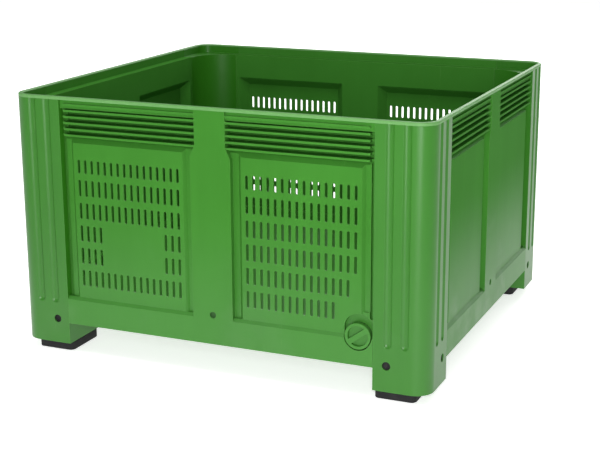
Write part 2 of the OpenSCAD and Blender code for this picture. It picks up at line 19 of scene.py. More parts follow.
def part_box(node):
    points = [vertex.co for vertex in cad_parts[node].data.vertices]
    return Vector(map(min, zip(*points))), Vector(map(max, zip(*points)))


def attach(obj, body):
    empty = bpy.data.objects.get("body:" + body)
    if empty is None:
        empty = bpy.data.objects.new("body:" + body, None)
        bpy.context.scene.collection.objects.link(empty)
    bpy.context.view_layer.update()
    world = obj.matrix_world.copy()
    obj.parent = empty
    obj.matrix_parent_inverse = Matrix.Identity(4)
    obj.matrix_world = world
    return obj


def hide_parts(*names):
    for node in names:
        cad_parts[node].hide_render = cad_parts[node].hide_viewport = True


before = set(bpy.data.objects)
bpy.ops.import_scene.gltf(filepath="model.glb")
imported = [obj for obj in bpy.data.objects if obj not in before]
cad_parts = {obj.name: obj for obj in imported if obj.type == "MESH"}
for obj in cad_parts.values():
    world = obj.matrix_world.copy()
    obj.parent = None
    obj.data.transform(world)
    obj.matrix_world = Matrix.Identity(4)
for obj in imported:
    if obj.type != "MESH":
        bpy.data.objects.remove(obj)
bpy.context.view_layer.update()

log = logging.getLogger("fruit_bin")

Colour = tuple[float, float, float]
Number = Union[int, float, "Value"]
Test = Callable[[Vector, Vector], bool]

MM = 0.001
BIN_W = 1200 * MM
BIN_D = 1130 * MM
BIN_H = 725 * MM
# A face looks along an axis when its normal has more than this share of it
FACING = 0.9
# Corners of a new piece that lie nearer than this are one
SAME = 0.001 * MM


class Body(Enum):
    """The rigid bodies that new pieces ride on."""

    BIN = "bin"
    PLUG = "plug"


class Slot(Enum):
    """The record's material slots."""

    BIN = "bin_plastic"
    PLUG = "plug_plastic"
    WALL_PIN = "wall_pin_plastic"
    LEG_PIN = "leg_pin_plastic"
    PAD = "pad_rubber"


class Part(Enum):
    """What a pick on the bench selects."""

    EDGE = (False, True, False)
    FACE = (False, False, True)


class LampFace(Enum):
    """Shapes of a soft lamp's face."""

    ROUND = "DISK"
    OBLONG = "RECTANGLE"


class Value:
    """A number that varies over a surface; Python's operators turn it into Math nodes."""

    def __init__(self, graph: "Graph", socket: bpy.types.NodeSocket) -> None:
        """Wraps a socket.

        Args:
            graph: The graph that the socket belongs to.
            socket: An output socket.
        """
        self.graph = graph
        self.socket = socket

    def __add__(self, other: Number) -> "Value":
        """Sum."""
        return self.graph.maths("ADD", self, other)

    def __radd__(self, other: Number) -> "Value":
        """Sum with a plain number on the left."""
        return self.graph.maths("ADD", other, self)

    def __sub__(self, other: Number) -> "Value":
        """Difference."""
        return self.graph.maths("SUBTRACT", self, other)

    def __rsub__(self, other: Number) -> "Value":
        """Difference with a plain number on the left."""
        return self.graph.maths("SUBTRACT", other, self)

    def __mul__(self, other: Number) -> "Value":
        """Product."""
        return self.graph.maths("MULTIPLY", self, other)

    def __rmul__(self, other: Number) -> "Value":
        """Product with a plain number on the left."""
        return self.graph.maths("MULTIPLY", other, self)

    def between(self, low: float, high: float) -> "Value":
        """A smooth step.

        Args:
            low: Where the step is still 0.
            high: Where it has reached 1.

        Returns:
            The stepped value, from 0 to 1.
        """
        return self.graph.make(
            "ShaderNodeMapRange",
            {"interpolation_type": "SMOOTHSTEP"},
            {"Value": self, "From Min": low, "From Max": high, "To Min": 0.0, "To Max": 1.0},
        )


class Graph:
    """A node tree."""

    def __init__(self, tree: bpy.types.NodeTree) -> None:
        """Wraps a tree.

        Args:
            tree: The node tree of a material or of the sky.
        """
        self.tree = tree

    def make(
        self,
        kind: str,
        settings: dict[str, Any],
        inputs: dict[Union[int, str], Any],
        output: Union[int, str] = 0,
    ) -> Value:
        """Adds a node.

        Args:
            kind: The node's type.
            settings: Its properties, set before its sockets.
            inputs: Values, colours or links of its input sockets, by name or place.
            output: The output socket that is wanted, by name or place.

        Returns:
            The wanted output.
        """
        node = self.tree.nodes.new(kind)
        for key, setting in settings.items():
            setattr(node, key, setting)
        for key, given in inputs.items():
            self.feed(node.inputs[key], given)
        return Value(self, node.outputs[output])

    def feed(self, socket: bpy.types.NodeSocket, given: Any) -> None:
        """Links or sets an input socket.

        Args:
            socket: The input.
            given: A Value to link, or a plain number, vector or colour.
        """
        if isinstance(given, Value):
            self.tree.links.new(given.socket, socket)
        elif socket.type == "RGBA":
            socket.default_value = (*given, 1.0)
        else:
            socket.default_value = given

    def maths(self, operation: str, left: Number, right: Number) -> Value:
        """One step of arithmetic."""
        return self.make("ShaderNodeMath", {"operation": operation}, {0: left, 1: right})

    def axis(self, where: Value, name: str) -> Value:
        """One coordinate of a place or a direction."""
        return self.make("ShaderNodeSeparateXYZ", {}, {"Vector": where}, name)


@dataclass(frozen=True)
class Grain:
    """One layer of soft noise over a surface.

    Attributes:
        scale: Features per metre.
        detail: Octaves.
        rough: Strength of the finer octaves.
        span: Where a smooth step of the noise begins and ends; none leaves the noise as it is.
        stretch: Stretch of the coordinates along the axes.
        share: How much of it shows.
    """

    scale: float
    detail: float = 2.0
    rough: float = 0.5
    span: Optional[tuple[float, float]] = None
    stretch: tuple[float, float, float] = (1.0, 1.0, 1.0)
    share: float = 1.0


class Surface(Graph):
    """The node tree of one material."""

    def __init__(self, name: str) -> None:
        """Starts a material with one principled shader.

        Args:
            name: The material's name.
        """
        self.material = bpy.data.materials.new(name)
        self.material.use_nodes = True
        super().__init__(self.material.node_tree)
        self.shader = next(n for n in self.tree.nodes if n.type == "BSDF_PRINCIPLED")

    def mix(self, share: Number, first: Any, second: Any) -> Value:
        """A blend of two colours.

        Args:
            share: How much of the second colour shows, from 0 to 1.
            first: A colour or a Value.
            second: A colour or a Value.

        Returns:
            The blended colour.
        """
        settings = {"data_type": "RGBA", "blend_type": "MIX", "clamp_factor": True}
        return self.make("ShaderNodeMix", settings, {0: share, 6: first, 7: second}, 2)

    def place(self, stretch: Sequence[float] = (1.0, 1.0, 1.0)) -> Value:
        """Object coordinates, stretched along the axes."""
        here = self.make("ShaderNodeTexCoord", {}, {}, "Object")
        return self.make("ShaderNodeMapping", {}, {"Vector": here, "Scale": tuple(stretch)})

    def height(self) -> Value:
        """Height above the ground, in metres."""
        return self.axis(self.place(), "Z")

    def grain(self, layer: Grain) -> Value:
        """Soft noise.

        Args:
            layer: The noise's layer.

        Returns:
            A value around 0.5, or from 0 to 1 where the layer has a span.
        """
        inputs = {
            "Vector": self.place(layer.stretch),
            "Scale": layer.scale,
            "Detail": layer.detail,
            "Roughness": layer.rough,
        }
        noise = self.make("ShaderNodeTexNoise", {}, inputs, "Fac")
        return noise.between(*layer.span) if layer.span else noise

    def bump(self, height: Value, depth: float, strength: float) -> Value:
        """A normal that follows a height.

        Args:
            height: The height, from 0 to 1.
            depth: What a height of 1 is, in metres.
            strength: Share of the effect.

        Returns:
            The normal.
        """
        inputs = {"Strength": strength, "Distance": depth, "Height": height}
        return self.make("ShaderNodeBump", {}, inputs, "Normal")

    def edges(self, radius: float, samples: int = 6) -> Value:
        """How near a convex or concave edge is.

        Args:
            radius: Reach of an edge, in metres.
            samples: Samples of the rounded normal.

        Returns:
            0 on flat ground, rising towards an edge.
        """
        rounded = self.make("ShaderNodeBevel", {"samples": samples}, {"Radius": radius}, "Normal")
        flat = self.make("ShaderNodeNewGeometry", {}, {}, "Normal")
        dot = {"operation": "DOT_PRODUCT"}
        return 1.0 - self.make("ShaderNodeVectorMath", dot, {0: rounded, 1: flat}, "Value")

    def shade(self, **sockets: Any) -> bpy.types.Material:
        """Sets the shader's sockets.

        Args:
            **sockets: Values by socket name, with _ for a space.

        Returns:
            The finished material.
        """
        for name, given in sockets.items():
            self.feed(self.shader.inputs[name.replace("_", " ")], given)
        return self.material


@dataclass(frozen=True)
class MouldedPlastic:
    """Semi-gloss moulded plastic with a fine skin, faint flow marks and light handling scuffs.

    Attributes:
        name: The finish's name.
        colour: The plastic's own colour.
        deep: Where the melt is denser.
        pale: Scuffed plastic and worn edges.
        gloss: Roughness of the film on the skin.
        film: Strength of the waxy film that gives the skin its shine, high up.
        film_low: What the film gains towards the ground.
        film_span: Heights where the film begins to lose that gain, and has lost it.
        film_even: Share of that gain that lies outside the patches too.
        matt: Roughness of the plastic under the film.
        cloud_matt: What clouds add to that roughness.
        scuff_matt: What scuffs add to it.
        wear: Strength of the worn edges.
        wear_even: Share of that wear that lies outside the patches too.
        wear_reach: How far wear reaches from an edge.
        wear_span: How sharp an edge has to be for its wear to begin, and to be full.
        scuff: Strength of the scuffs.
        relief: Height of the skin's grain.
        relief_share: How much of that height shows.
        clouds: Broad changes of colour.
        flow: Upright marks of the melt's flow.
        skin: Fine grain.
        peel: Coarser unevenness of the skin.
        scratches: Upright scratches.
        patches: Where scratches and wear gather.
    """

    name: str
    colour: Colour
    deep: Colour
    pale: Colour
    gloss: float = 0.36
    film: float = 0.06
    film_low: float = 0.85
    film_span: tuple[float, float] = (0.08, 0.5)
    film_even: float = 0.7
    matt: float = 0.6
    cloud_matt: float = 0.1
    scuff_matt: float = 0.2
    wear: float = 0.5
    wear_even: float = 0.5
    wear_reach: float = 3.5 * MM
    wear_span: tuple[float, float] = (0.03, 0.3)
    scuff: float = 0.35
    relief: float = 0.6 * MM
    relief_share: float = 0.18
    clouds: Grain = Grain(2.6, 3.0, span=(0.3, 0.7), share=0.5)
    flow: Grain = Grain(2.0, 4.0, 0.6, span=(0.35, 0.7), stretch=(9.0, 9.0, 1.2), share=0.25)
    skin: Grain = Grain(520.0, share=0.35)
    peel: Grain = Grain(70.0, share=0.65)
    scratches: Grain = Grain(1.0, 5.0, 0.65, span=(0.62, 0.72), stretch=(140.0, 140.0, 9.0))
    patches: Grain = Grain(5.0, 4.0, 0.6, span=(0.5, 0.72))

    @cache
    def material(self) -> bpy.types.Material:
        """The finish as a material, made once."""
        g = Surface(self.name)
        clouds, patches = g.grain(self.clouds), g.grain(self.patches)
        scuffs = g.grain(self.scratches) * patches * self.scuff
        rubbed = self.wear_even + (1 - self.wear_even) * patches
        worn = g.edges(self.wear_reach).between(*self.wear_span) * self.wear * rubbed
        denser = clouds * self.clouds.share + g.grain(self.flow) * self.flow.share
        body = g.mix(denser, self.colour, self.deep)
        lower = 1.0 - g.height().between(*self.film_span)
        waxy = self.film_even + (1 - self.film_even) * patches
        uneven = self.skin.share * g.grain(self.skin) + self.peel.share * g.grain(self.peel)
        return g.shade(
            Base_Color=g.mix(scuffs + worn, body, self.pale),
            Roughness=self.matt + self.cloud_matt * clouds + self.scuff_matt * scuffs,
            Normal=g.bump(uneven, self.relief, self.relief_share),
            Specular_IOR_Level=0.0,
            Coat_Weight=self.film + self.film_low * lower * waxy,
            Coat_Roughness=self.gloss,
        )


@dataclass(frozen=True)
class MattPlastic:
    """Plain matt plastic of small fasteners.

    Attributes:
        name: The finish's name.
        colour: The plastic's colour.
        dust: Colour of the dust that gathers on it.
        dust_matt: What dust adds to the roughness.
        matt: Roughness of the clean plastic.
        relief: Height of the turned grain.
        relief_share: How much of that height shows.
        shine: Strength of its reflections.
        dusty: Where the dust lies.
        turned: The grain that turning leaves.
    """

    name: str
    colour: Colour
    dust: Colour
    dust_matt: float = 0.2
    matt: float = 0.46
    relief: float = 0.4 * MM
    relief_share: float = 0.2
    shine: float = 0.2
    dusty: Grain = Grain(60.0, 4.0, 0.6, span=(0.5, 0.8), share=0.18)
    turned: Grain = Grain(1.0, stretch=(400.0, 400.0, 60.0))

    @cache
    def material(self) -> bpy.types.Material:
        """The finish as a material, made once."""
        g = Surface(self.name)
        dusty = g.grain(self.dusty)
        return g.shade(
            Base_Color=g.mix(self.dusty.share * dusty, self.colour, self.dust),
            Roughness=self.matt + self.dust_matt * dusty,
            Normal=g.bump(g.grain(self.turned), self.relief, self.relief_share),
            Specular_IOR_Level=self.shine,
        )


@dataclass(frozen=True)
class BlackRubber:
    """Moulded rubber with a dry, slightly dusty skin.

    Attributes:
        name: The finish's name.
        colour: The rubber's colour.
        dust: Colour of the dust on it.
        dust_matt: What dust adds to the roughness.
        scuff: Strength of the scuffed edges.
        scuff_reach: How far scuffs reach from an edge.
        scuff_span: How sharp an edge has to be for its scuffs to begin, and to be full.
        matt: Roughness of the clean rubber.
        relief: Height of the grit.
        relief_share: How much of that height shows.
        shine: Strength of its reflections.
        dusty: Where the dust lies.
        grit: Fine grain.
    """

    name: str
    colour: Colour
    dust: Colour
    dust_matt: float = 0.2
    scuff: float = 0.2
    scuff_reach: float = 3 * MM
    scuff_span: tuple[float, float] = (0.05, 0.35)
    matt: float = 0.66
    relief: float = 0.5 * MM
    relief_share: float = 0.3
    shine: float = 0.2
    dusty: Grain = Grain(24.0, 5.0, 0.65, span=(0.45, 0.8), share=0.12)
    grit: Grain = Grain(900.0)

    @cache
    def material(self) -> bpy.types.Material:
        """The finish as a material, made once."""
        g = Surface(self.name)
        dusty = g.grain(self.dusty)
        scuffed = g.edges(self.scuff_reach).between(*self.scuff_span)
        greyed = self.dusty.share * dusty + self.scuff * scuffed
        return g.shade(
            Base_Color=g.mix(greyed, self.colour, self.dust),
            Roughness=self.matt + self.dust_matt * dusty,
            Normal=g.bump(g.grain(self.grit), self.relief, self.relief_share),
            Specular_IOR_Level=self.shine,
        )


@dataclass(frozen=True)
class StudioFloor:
    """Pale matt studio floor.

    Attributes:
        name: The finish's name.
        colour: The floor's colour.
        worn: Brightness of its duller places.
        matt: Roughness of the paper.
        worn_matt: What the duller places add to it.
        glow: Light that the lit paper gives off by itself.
        tone: Where it is duller.
    """

    name: str
    colour: Colour
    worn: float = 0.97
    matt: float = 0.75
    worn_matt: float = 0.1
    glow: float = 0.66
    tone: Grain = Grain(0.6)

    @cache
    def material(self) -> bpy.types.Material:
        """The finish as a material, made once."""
        g = Surface(self.name)
        tone = g.grain(self.tone)
        return g.shade(
            Base_Color=g.mix(tone, self.colour, tuple(self.worn * c for c in self.colour)),
            Roughness=self.matt + self.worn_matt * tone,
            Emission_Color=(1.0, 1.0, 1.0),
            Emission_Strength=self.glow,
        )


GREEN = MouldedPlastic(
    "green_moulding", (0.043, 0.19, 0.023), (0.035, 0.16, 0.018), (0.14, 0.32, 0.09)
)
# The posts' green is the walls' green darkened: painted shade that evens out the extra shine of their
# stronger film.
POST_GREEN_PAINTED_SHADE = replace(
    GREEN, name="green_post_painted_shade", colour=(0.026, 0.158, 0.008), deep=(0.021, 0.137, 0.006),
    gloss=0.34, film=0.65, film_low=0.4,
)
# The rim's green is the walls' green made paler: a painted highlight along the lit top edge, under a
# stronger film.
RIM_GREEN_PAINTED_HIGHLIGHT = MouldedPlastic(
    "green_rim_painted_highlight", (0.12, 0.29, 0.09), (0.10, 0.26, 0.075), (0.2, 0.4, 0.15), gloss=0.34, film=0.35
)
RUBBER = BlackRubber("black_rubber", (0.012, 0.012, 0.013), (0.16, 0.15, 0.14))
BLACK = MattPlastic("black_pin", (0.008, 0.008, 0.008), (0.12, 0.12, 0.11))
DARK_GREEN = MattPlastic("green_pin", (0.02, 0.075, 0.014), (0.12, 0.2, 0.09))
PALE_FLOOR = StudioFloor("pale_floor", (0.86, 0.86, 0.85))


class Bench:
    """The modelling bench: one mesh at a time, shaped with Blender's own operators."""

    def __init__(self, name: str, add: Callable[..., set[str]], **values: Any) -> None:
        """Adds a primitive and opens it for editing.

        Args:
            name: The piece's name.
            add: The operator that adds the primitive.
            **values: The operator's settings.
        """
        bpy.ops.object.select_all(action="DESELECT")
        add(**values)
        self.piece = bpy.context.object
        self.piece.name = name
        self.piece.data.name = name
        self.edit()

    def edit(self) -> None:
        """Goes into edit mode."""
        bpy.ops.object.mode_set(mode="EDIT")

    def close(self) -> None:
        """Leaves edit mode."""
        bpy.ops.object.mode_set(mode="OBJECT")

    def settle(self) -> None:
        """Puts the object's place, turn and scale into its mesh."""
        self.close()
        bpy.ops.object.transform_apply(location=True, rotation=True, scale=True)

    def pick(self, part: Part, test: Test) -> None:
        """Selects edges or faces by place.

        Args:
            part: What is selected.
            test: Takes a face's centre and normal, or an edge's two ends.
        """
        self.close()
        mesh = self.piece.data
        for item in (*mesh.vertices, *mesh.edges, *mesh.polygons):
            item.select = False
        if part is Part.EDGE:
            for edge in mesh.edges:
                edge.select = test(*(mesh.vertices[i].co for i in edge.vertices))
        else:
            for face in mesh.polygons:
                face.select = test(face.center, face.normal)
        bpy.context.tool_settings.mesh_select_mode = part.value
        self.edit()

    def every(self) -> None:
        """Selects the whole mesh."""
        self.edit()
        bpy.ops.mesh.select_all(action="SELECT")

    def rims(self) -> None:
        """Selects the open edges."""
        self.close()
        bpy.context.tool_settings.mesh_select_mode = Part.EDGE.value
        self.edit()
        bpy.ops.mesh.select_all(action="DESELECT")
        bpy.ops.mesh.select_non_manifold()

    def lift(self, height: float) -> None:
        """Extrudes the selected faces up, or down where the height is negative."""
        bpy.ops.mesh.extrude_region_move(TRANSFORM_OT_translate={"value": (0.0, 0.0, height)})

    def modify(self, kind: str, **settings: Any) -> None:
        """Adds a modifier and applies it.

        Args:
            kind: The modifier's type.
            **settings: Its settings.
        """
        self.close()
        modifier = self.piece.modifiers.new(kind.title(), kind)
        for key, setting in settings.items():
            setattr(modifier, key, setting)
        bpy.ops.object.modifier_apply(modifier=modifier.name)
        self.edit()

    def soften(self, width: float, segments: int = 3, angle: float = 35.0) -> None:
        """Rounds the sharp edges.

        Args:
            width: How far the rounding reaches, in metres.
            segments: Faces across it.
            angle: Edges flatter than this stay, in degrees.
        """
        self.modify(
            "BEVEL", width=width, segments=segments, limit_method="ANGLE",
            angle_limit=math.radians(angle), harden_normals=False, use_clamp_overlap=True,
        )

    def finish(self, where: Matrix = Matrix.Identity(4), angle: float = 32.0) -> bpy.types.Object:
        """Puts the finished piece in place.

        Args:
            where: Its place in the bin's frame.
            angle: Edges flatter than this are shaded smooth, in degrees.

        Returns:
            The piece, with its place in its mesh.
        """
        self.every()
        bpy.ops.mesh.remove_doubles(threshold=SAME)
        bpy.ops.mesh.normals_make_consistent(inside=False)
        self.close()
        self.piece.matrix_world = where @ self.piece.matrix_world
        self.settle()
        bpy.ops.object.shade_smooth_by_angle(angle=math.radians(angle))
        return self.piece


def join(pieces: Sequence[bpy.types.Object], name: str) -> bpy.types.Object:
    """Joins finished pieces into one.

    Args:
        pieces: The pieces, at least two.
        name: The joined piece's name.

    Returns:
        The joined piece.
    """
    bpy.ops.object.select_all(action="DESELECT")
    for piece in pieces:
        piece.select_set(True)
    bpy.context.view_layer.objects.active = pieces[0]
    bpy.ops.object.join()
    piece = bpy.context.view_layer.objects.active
    piece.name = name
    piece.data.name = name
    return piece


def paint(piece: bpy.types.Object, material: bpy.types.Material) -> None:
    """Gives a piece one material all over.

    Args:
        piece: A CAD node or a new piece.
        material: The material.
    """
    slots = piece.material_slots
    if not slots:
        piece.data.materials.append(material)
    for slot in slots:
        slot.material = material


def hand_over(
    piece: bpy.types.Object, material: bpy.types.Material, body: Body, node: str
) -> None:
    """Finishes a new piece: its material, the body it rides on and the node it stands for.

    Args:
        piece: The piece.
        material: Its material.
        body: The body that it moves with.
        node: The CAD node that it replaces.
    """
    paint(piece, material)
    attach(piece, body.value)
    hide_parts(node)
    log.info("%s: %d faces, for %s", piece.name, len(piece.data.polygons), node)


@dataclass
class Moulding:
    """A sub-assembly that keeps its solids, with softened edges.

    Attributes:
        finish: Its finish.
        edge: Width of its rounded edges.
        edge_faces: Faces across a rounded edge.
        edge_angle: Edges flatter than this stay, in degrees.
        weld: Corners nearer than this are joined first.
        flatness: How far broad faces keep their flat shading, from 1 to 100.
        nodes: Names of its CAD nodes.
    """

    finish: MouldedPlastic
    edge: float = 1.2 * MM
    edge_faces: int = 2
    edge_angle: float = 35.0
    weld: float = 0.01 * MM
    flatness: int = 100
    nodes: Sequence[str] = ()

    def soften(self, piece: bpy.types.Object) -> None:
        """Rounds a node's sharp edges with live modifiers.

        Args:
            piece: The CAD node's object.
        """
        weld = piece.modifiers.new("Weld", "WELD")
        weld.merge_threshold = self.weld
        bevel = piece.modifiers.new("Edges", "BEVEL")
        bevel.width = self.edge
        bevel.segments = self.edge_faces
        bevel.limit_method = "ANGLE"
        bevel.angle_limit = math.radians(self.edge_angle)
        bevel.use_clamp_overlap = True
        normals = piece.modifiers.new("Normals", "WEIGHTED_NORMAL")
        normals.keep_sharp = False
        normals.weight = self.flatness

    def dress_nodes(self, names: Sequence[str], material: bpy.types.Material) -> None:
        """Softens and paints some nodes.

        Args:
            names: Names of the nodes.
            material: Their material.
        """
        for name in names:
            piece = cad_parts[name]
            self.soften(piece)
            paint(piece, material)
            log.info("%s: softened, in %s", name, material.name)

    def dress(self) -> None:
        """Softens and paints every node."""
        self.dress_nodes(self.nodes, self.finish.material())


@dataclass
class CornerPosts(Moulding):
    """Fluted corner posts that run down into the legs."""

    flatness: int = 50
    nodes: Sequence[str] = ("post_front_left", "post_front_right", "post_rear_left", "post_rear_right")


@dataclass
class Walls(Moulding):
    """The four walls with their panels, fins and vent slots."""

    nodes: Sequence[str] = ("wall_front", "wall_rear", "wall_left", "wall_right")


@dataclass
class Underframe(Moulding):
    """The ribbed floor and the four sills that carry it."""

    nodes: Sequence[str] = ("base_deck", "sill_front", "sill_rear", "sill_left", "sill_right")


@dataclass
class DrainFittings(Moulding):
    """Bush and ring nut of the drain, with the rubber gasket and seal between them and the wall.

    Attributes:
        rubber: Finish of the gasket and the seal.
        rings: Names of the rubber nodes.
    """

    edge: float = 0.4 * MM
    nodes: Sequence[str] = ("drain_bush", "drain_nut")
    rubber: BlackRubber = RUBBER
    rings: Sequence[str] = ("drain_gasket", "drain_seal")

    def dress(self) -> None:
        """Softens and paints the plastic and the rubber rings."""
        super().dress()
        self.dress_nodes(self.rings, self.rubber.material())


@dataclass
class TopRim:
    """The slim ring that caps walls and posts: a rounded top with an outer lip.

    Attributes:
        finish: Its finish.
        width: Along X.
        depth: Along Y.
        top: Height of its upper face.
        land: Width of its upper face.
        top_t: Thickness of its top.
        lip_h: Height of its outer face.
        lip_t: Thickness of its lip.
        corner_r: Radius of its outer corners.
        corner_faces: Faces round a corner.
        edge: Width of the rounding along its upper edges.
        edge_faces: Faces across that rounding.
        arris: Width of the rounding along its other edges.
        near: How near a point has to be to count as on an edge.
    """

    finish: MouldedPlastic
    width: float = BIN_W
    depth: float = BIN_D
    top: float = BIN_H
    land: float = 12 * MM
    top_t: float = 5 * MM
    lip_h: float = 9 * MM
    lip_t: float = 6.7 * MM
    corner_r: float = 50 * MM
    corner_faces: int = 12
    edge: float = 4 * MM
    edge_faces: int = 5
    arris: float = 0.8 * MM
    near: float = 0.4 * MM

    def inside(self, at: Vector) -> float:
        """How far a point lies inside the rim's outline.

        Args:
            at: The point.

        Returns:
            The distance.
        """
        x = abs(at.x) - self.width / 2 + self.corner_r
        y = abs(at.y) - self.depth / 2 + self.corner_r
        return self.corner_r - (math.hypot(x, y) if x > 0 and y > 0 else max(x, y))

    def is_upper_edge(self, start: Vector, end: Vector) -> bool:
        """Whether an edge runs along the outer or inner border of the upper face.

        Args:
            start: One end of the edge, with its height from the rim's top.
            end: Its other end, likewise.

        Returns:
            True where it does.
        """
        at_top = min(start.z, end.z) > -self.near
        along = abs(self.inside(start) - self.inside(end)) < self.near
        between = self.near < self.inside(start) < self.land - self.near
        return at_top and along and not between

    def build(self) -> None:
        """Models the rim."""
        bench = Bench(
            "rim_cap", bpy.ops.mesh.primitive_plane_add, size=1.0, location=(0.0, 0.0, self.top)
        )
        bpy.ops.transform.resize(value=(self.width, self.depth, 1.0))
        bpy.ops.mesh.bevel(offset=self.corner_r, segments=self.corner_faces, affect="VERTICES")
        bpy.ops.mesh.select_all(action="SELECT")
        bpy.ops.mesh.inset(thickness=self.lip_t, use_even_offset=True)
        bpy.ops.mesh.inset(thickness=self.land - self.lip_t, use_even_offset=True)
        bpy.ops.mesh.delete(type="FACE")
        bench.every()
        bench.lift(-self.top_t)
        bench.pick(
            Part.FACE,
            lambda at, _: at.z < self.near - self.top_t and self.inside(at) < self.lip_t,
        )
        bench.lift(self.top_t - self.lip_h)
        bench.every()
        bpy.ops.mesh.normals_make_consistent(inside=False)
        bench.pick(Part.EDGE, self.is_upper_edge)
        bpy.ops.mesh.bevel(offset=self.edge, segments=self.edge_faces, affect="EDGES")
        bench.soften(self.arris, segments=2)
        hand_over(bench.finish(), self.finish.material(), Body.BIN, "top_rim")


@dataclass
class FootPads:
    """Black pads under the legs: a rounded slab with a spigot above and tread bars below.

    Attributes:
        finish: Their finish.
        height: Height of the slab below the leg.
        corner_r: Radius of its upright corners.
        corner_faces: Faces round an upright corner.
        edge: Width of the slab's rounded edges.
        spigot: Width of the spigot.
        spigot_r: Radius of the spigot's corners.
        spigot_edge: Width of the spigot's rounded edges.
        root: How far the spigot reaches into the slab.
        lip: Width of the rim round the tread.
        tread: Depth of the tread.
        bars: Number of tread bars.
        bar_edge: Width of a bar's rounded edges.
        bar_root: How far a bar reaches into the slab.
    """

    finish: BlackRubber
    height: float = 25 * MM
    corner_r: float = 14 * MM
    corner_faces: int = 6
    edge: float = 2.2 * MM
    spigot: float = 70 * MM
    spigot_r: float = 7 * MM
    spigot_edge: float = 1.5 * MM
    root: float = 2 * MM
    lip: float = 9 * MM
    tread: float = 4 * MM
    bars: int = 5
    bar_edge: float = 1 * MM
    bar_root: float = 1 * MM

    def block(self, name: str, size: Sequence[float], centre: Sequence[float], radius: float) -> Bench:
        """Starts a block with rounded upright corners.

        Args:
            name: The block's name.
            size: Its size.
            centre: Its middle.
            radius: Radius of its corners.

        Returns:
            The bench, in edit mode.
        """
        bench = Bench(name, bpy.ops.mesh.primitive_cube_add, size=1.0, location=centre)
        bpy.ops.transform.resize(value=size)
        bench.settle()
        bench.pick(Part.EDGE, lambda a, b: abs(a.z - b.z) > size[2] / 2)
        bpy.ops.mesh.bevel(offset=radius, segments=self.corner_faces, affect="EDGES")
        return bench

    def slab(self, name: str, middle: Vector, width: float, depth: float) -> bpy.types.Object:
        """Models a pad's slab with the hollow of its tread.

        Args:
            name: The piece's name.
            middle: Middle of the pad.
            width: Along X.
            depth: Along Y.

        Returns:
            The slab.
        """
        centre = (middle.x, middle.y, self.height / 2)
        bench = self.block(name, (width, depth, self.height), centre, self.corner_r)
        bench.pick(Part.FACE, lambda _, normal: normal.z < -FACING)
        bpy.ops.mesh.inset(thickness=self.lip, use_even_offset=True)
        bench.lift(self.tread)
        bench.soften(self.edge)
        return bench.finish()

    def neck(self, name: str, middle: Vector, top: float) -> bpy.types.Object:
        """Models a pad's spigot.

        Args:
            name: The piece's name.
            middle: Middle of the pad.
            top: Height of the spigot's top.

        Returns:
            The spigot.
        """
        rise = top - self.height + self.root
        centre = (middle.x, middle.y, top - rise / 2)
        bench = self.block(name, (self.spigot, self.spigot, rise), centre, self.spigot_r)
        bench.soften(self.spigot_edge)
        return bench.finish()

    def tread_bars(self, name: str, middle: Vector, width: float, depth: float) -> bpy.types.Object:
        """Models the bars of a pad's tread.

        Args:
            name: The piece's name.
            middle: Middle of the pad.
            width: The pad's size along X.
            depth: The pad's size along Y.

        Returns:
            The bars.
        """
        step = (depth - 2 * self.lip) / self.bars
        size = (width - 2 * self.lip - step / 2, step / 2, self.tread + self.bar_root)
        first = middle.y - depth / 2 + self.lip + step / 2
        bench = self.block(name, size, (middle.x, first, size[2] / 2), step / 8)
        bench.soften(self.bar_edge, segments=2)
        bench.modify(
            "ARRAY", count=self.bars, use_relative_offset=False, use_constant_offset=True,
            constant_offset_displace=(0.0, step, 0.0),
        )
        return bench.finish()

    def pad(self, node: str, name: str) -> bpy.types.Object:
        """Models one pad.

        Args:
            node: The CAD node that it stands for.
            name: The piece's name.

        Returns:
            The piece.
        """
        low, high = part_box(node)
        middle = (low + high) / 2
        width, depth = high.x - low.x, high.y - low.y
        pieces = (
            self.slab(name, middle, width, depth),
            self.neck(name, middle, high.z),
            self.tread_bars(name, middle, width, depth),
        )
        return join(pieces, name)

    def build(self) -> None:
        """Models all four pads."""
        for corner in ("front_left", "front_right", "rear_left", "rear_right"):
            node = "pad_" + corner
            piece = self.pad(node, "foot_" + corner)
            hand_over(piece, self.finish.material(), Body.BIN, node)


